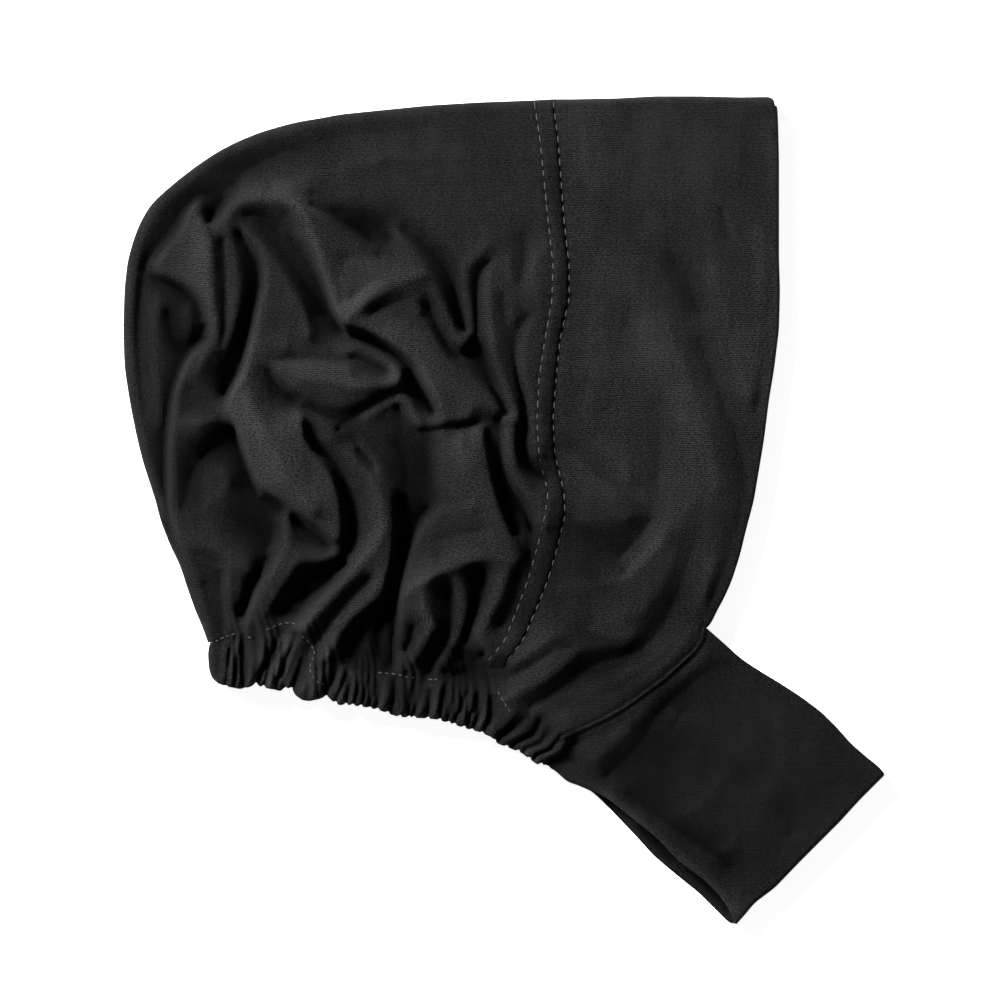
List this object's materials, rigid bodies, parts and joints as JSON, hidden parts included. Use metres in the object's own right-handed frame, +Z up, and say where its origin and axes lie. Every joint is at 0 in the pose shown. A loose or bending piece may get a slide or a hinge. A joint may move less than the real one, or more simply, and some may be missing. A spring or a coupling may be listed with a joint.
{
  "type": "underscarf cap",
  "caption": "Soft jersey underscarf cap with a gathered crown, smooth front band, ruffled elastic nape and a looped chin strap, lying flat on its side.",
  "frame": {"origin": "on the surface the cap lies on, under the middle of its outline", "axes": "+X towards the face edge, +Y towards the top of the head, +Z up from the surface, so that the cap lies on its side"},
  "size_m": [0.2586, 0.2824, 0.0218],
  "materials": {
    "crown_jersey": "matt black single jersey, soft folds",
    "band_jersey": "matt black jersey, doubled and smooth",
    "casing_jersey": "matt black jersey gathered on elastic",
    "strap_jersey": "matt black jersey, doubled"
  },
  "bodies": {
    "root": {"crown": "crown_jersey", "front_band": "band_jersey", "nape_casing": "casing_jersey", "chin_strap": "strap_jersey"}
  },
  "joints": []
}
